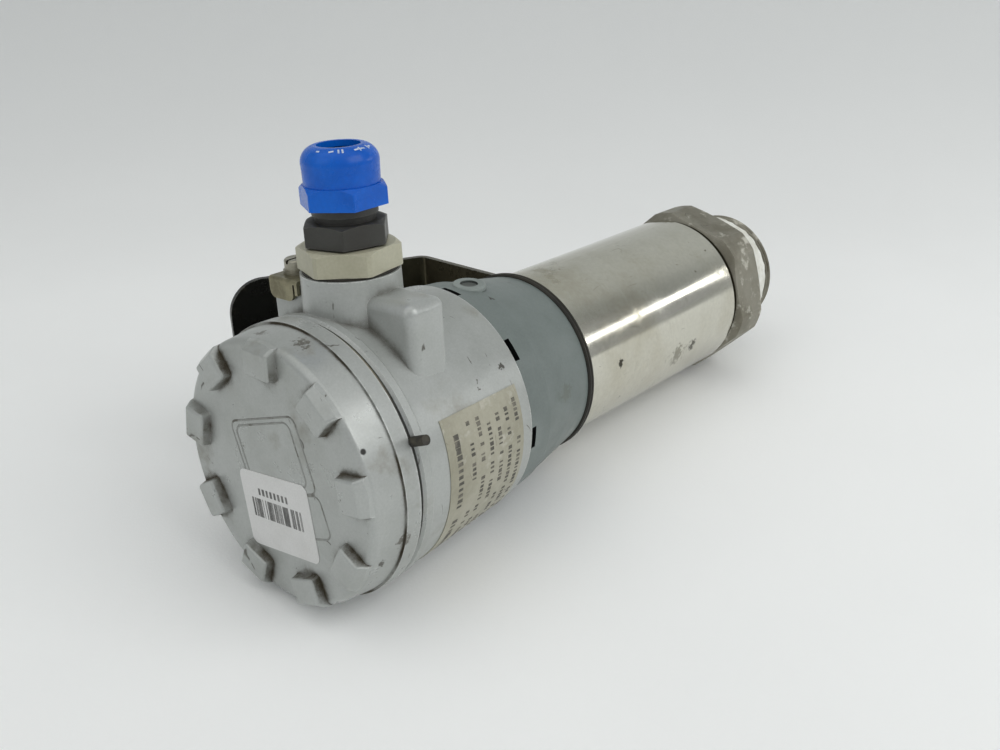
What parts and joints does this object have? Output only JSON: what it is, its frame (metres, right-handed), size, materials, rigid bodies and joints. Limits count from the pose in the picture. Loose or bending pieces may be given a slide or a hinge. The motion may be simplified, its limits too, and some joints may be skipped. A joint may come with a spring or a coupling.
{
  "type": "pressure transmitter",
  "caption": "Pressure transmitter with a flush process thread, steel tube body, cast head with screw cover, side cable gland, vented collar and folded mounting bracket.",
  "frame": {"origin": "centre of the sealing face behind the process thread", "axes": "+X along the main axis, out of the process thread; +Z out of the cable gland"},
  "size_m": [0.2485, 0.1172, 0.1303],
  "materials": {
    "cover_paint": "worn silver-grey powder coat",
    "seal_rubber": "matt",
    "sticker_paper": "matt",
    "label_film": "satin film",
    "black_rubber": "matt",
    "adapter_plastic": "satin",
    "dark_plastic": "satin",
    "blue_plastic": "satin",
    "clamp_steel": "dull",
    "screw_steel": "satin",
    "collar_plastic": "satin",
    "vent_plastic": "satin",
    "bracket_coat": "dark coat with bare grey edges",
    "tube_steel": "worn brushed",
    "flange_steel": "worn turned",
    "tape_film": "thin film",
    "diaphragm_steel": "smooth",
    "ceramic_cell": "fired",
    "board_laminate": "satin",
    "lead_sheath": "matt",
    "potting": "satin",
    "terminal_plastic": "satin"
  },
  "bodies": {
    "transmitter": {"housing": "cover_paint", "type_label": "label_film", "entry_gasket": "black_rubber", "entry_adapter": "adapter_plastic", "gland_gasket": "black_rubber", "gland_body": "dark_plastic", "ground_clamp": "clamp_steel", "ground_washer": "screw_steel", "ground_screw": "screw_steel", "collar": "collar_plastic", "vent": "vent_plastic", "neck_seal": "black_rubber", "mounting_bracket": "bracket_coat", "body_tube": "tube_steel", "process_connection": "flange_steel", "thread_tape": "tape_film", "diaphragm": "diaphragm_steel", "measuring_cell": "ceramic_cell", "cell_retainer": "flange_steel", "amplifier_board": "board_laminate", "sensor_lead": "lead_sheath", "electronics_insert": "potting", "insert_screws": "screw_steel", "terminal_block": "terminal_plastic", "terminal_screws": "screw_steel", "inner_ground_screw": "screw_steel"},
    "cover_seal": {"cover_seal": "seal_rubber"},
    "cover": {"cover": "cover_paint", "asset_sticker": "sticker_paper"},
    "gland_seal": {"gland_seal": "black_rubber"},
    "gland_cap": {"gland_cap": "blue_plastic"}
  },
  "joints": [
    {"name": "cover_travel", "type": "slide", "parent": "transmitter", "child": "cover_seal", "axis": [-1, 0, 0], "range_m": [0, 0.01]},
    {"name": "cover_turn", "type": "hinge", "parent": "cover_seal", "child": "cover", "pos_m": [-0.2072, 0, 0], "axis": [-1, 0, 0], "range_deg": [0, 1800]},
    {"name": "gland_cap_turn", "type": "hinge", "parent": "transmitter", "child": "gland_seal", "pos_m": [-0.1884, 0, 0.0705], "axis": [0, 0, 1], "range_deg": [0, 1080]},
    {"name": "gland_cap_travel", "type": "slide", "parent": "gland_seal", "child": "gland_cap", "axis": [0, 0, 1], "range_m": [0, 0.0045]}
  ],
  "couplings": [
    {"joint": "cover_travel", "follows": "cover_turn", "m_per_rad": 0.0003183},
    {"joint": "gland_cap_travel", "follows": "gland_cap_turn", "m_per_rad": 0.0002387}
  ]
}
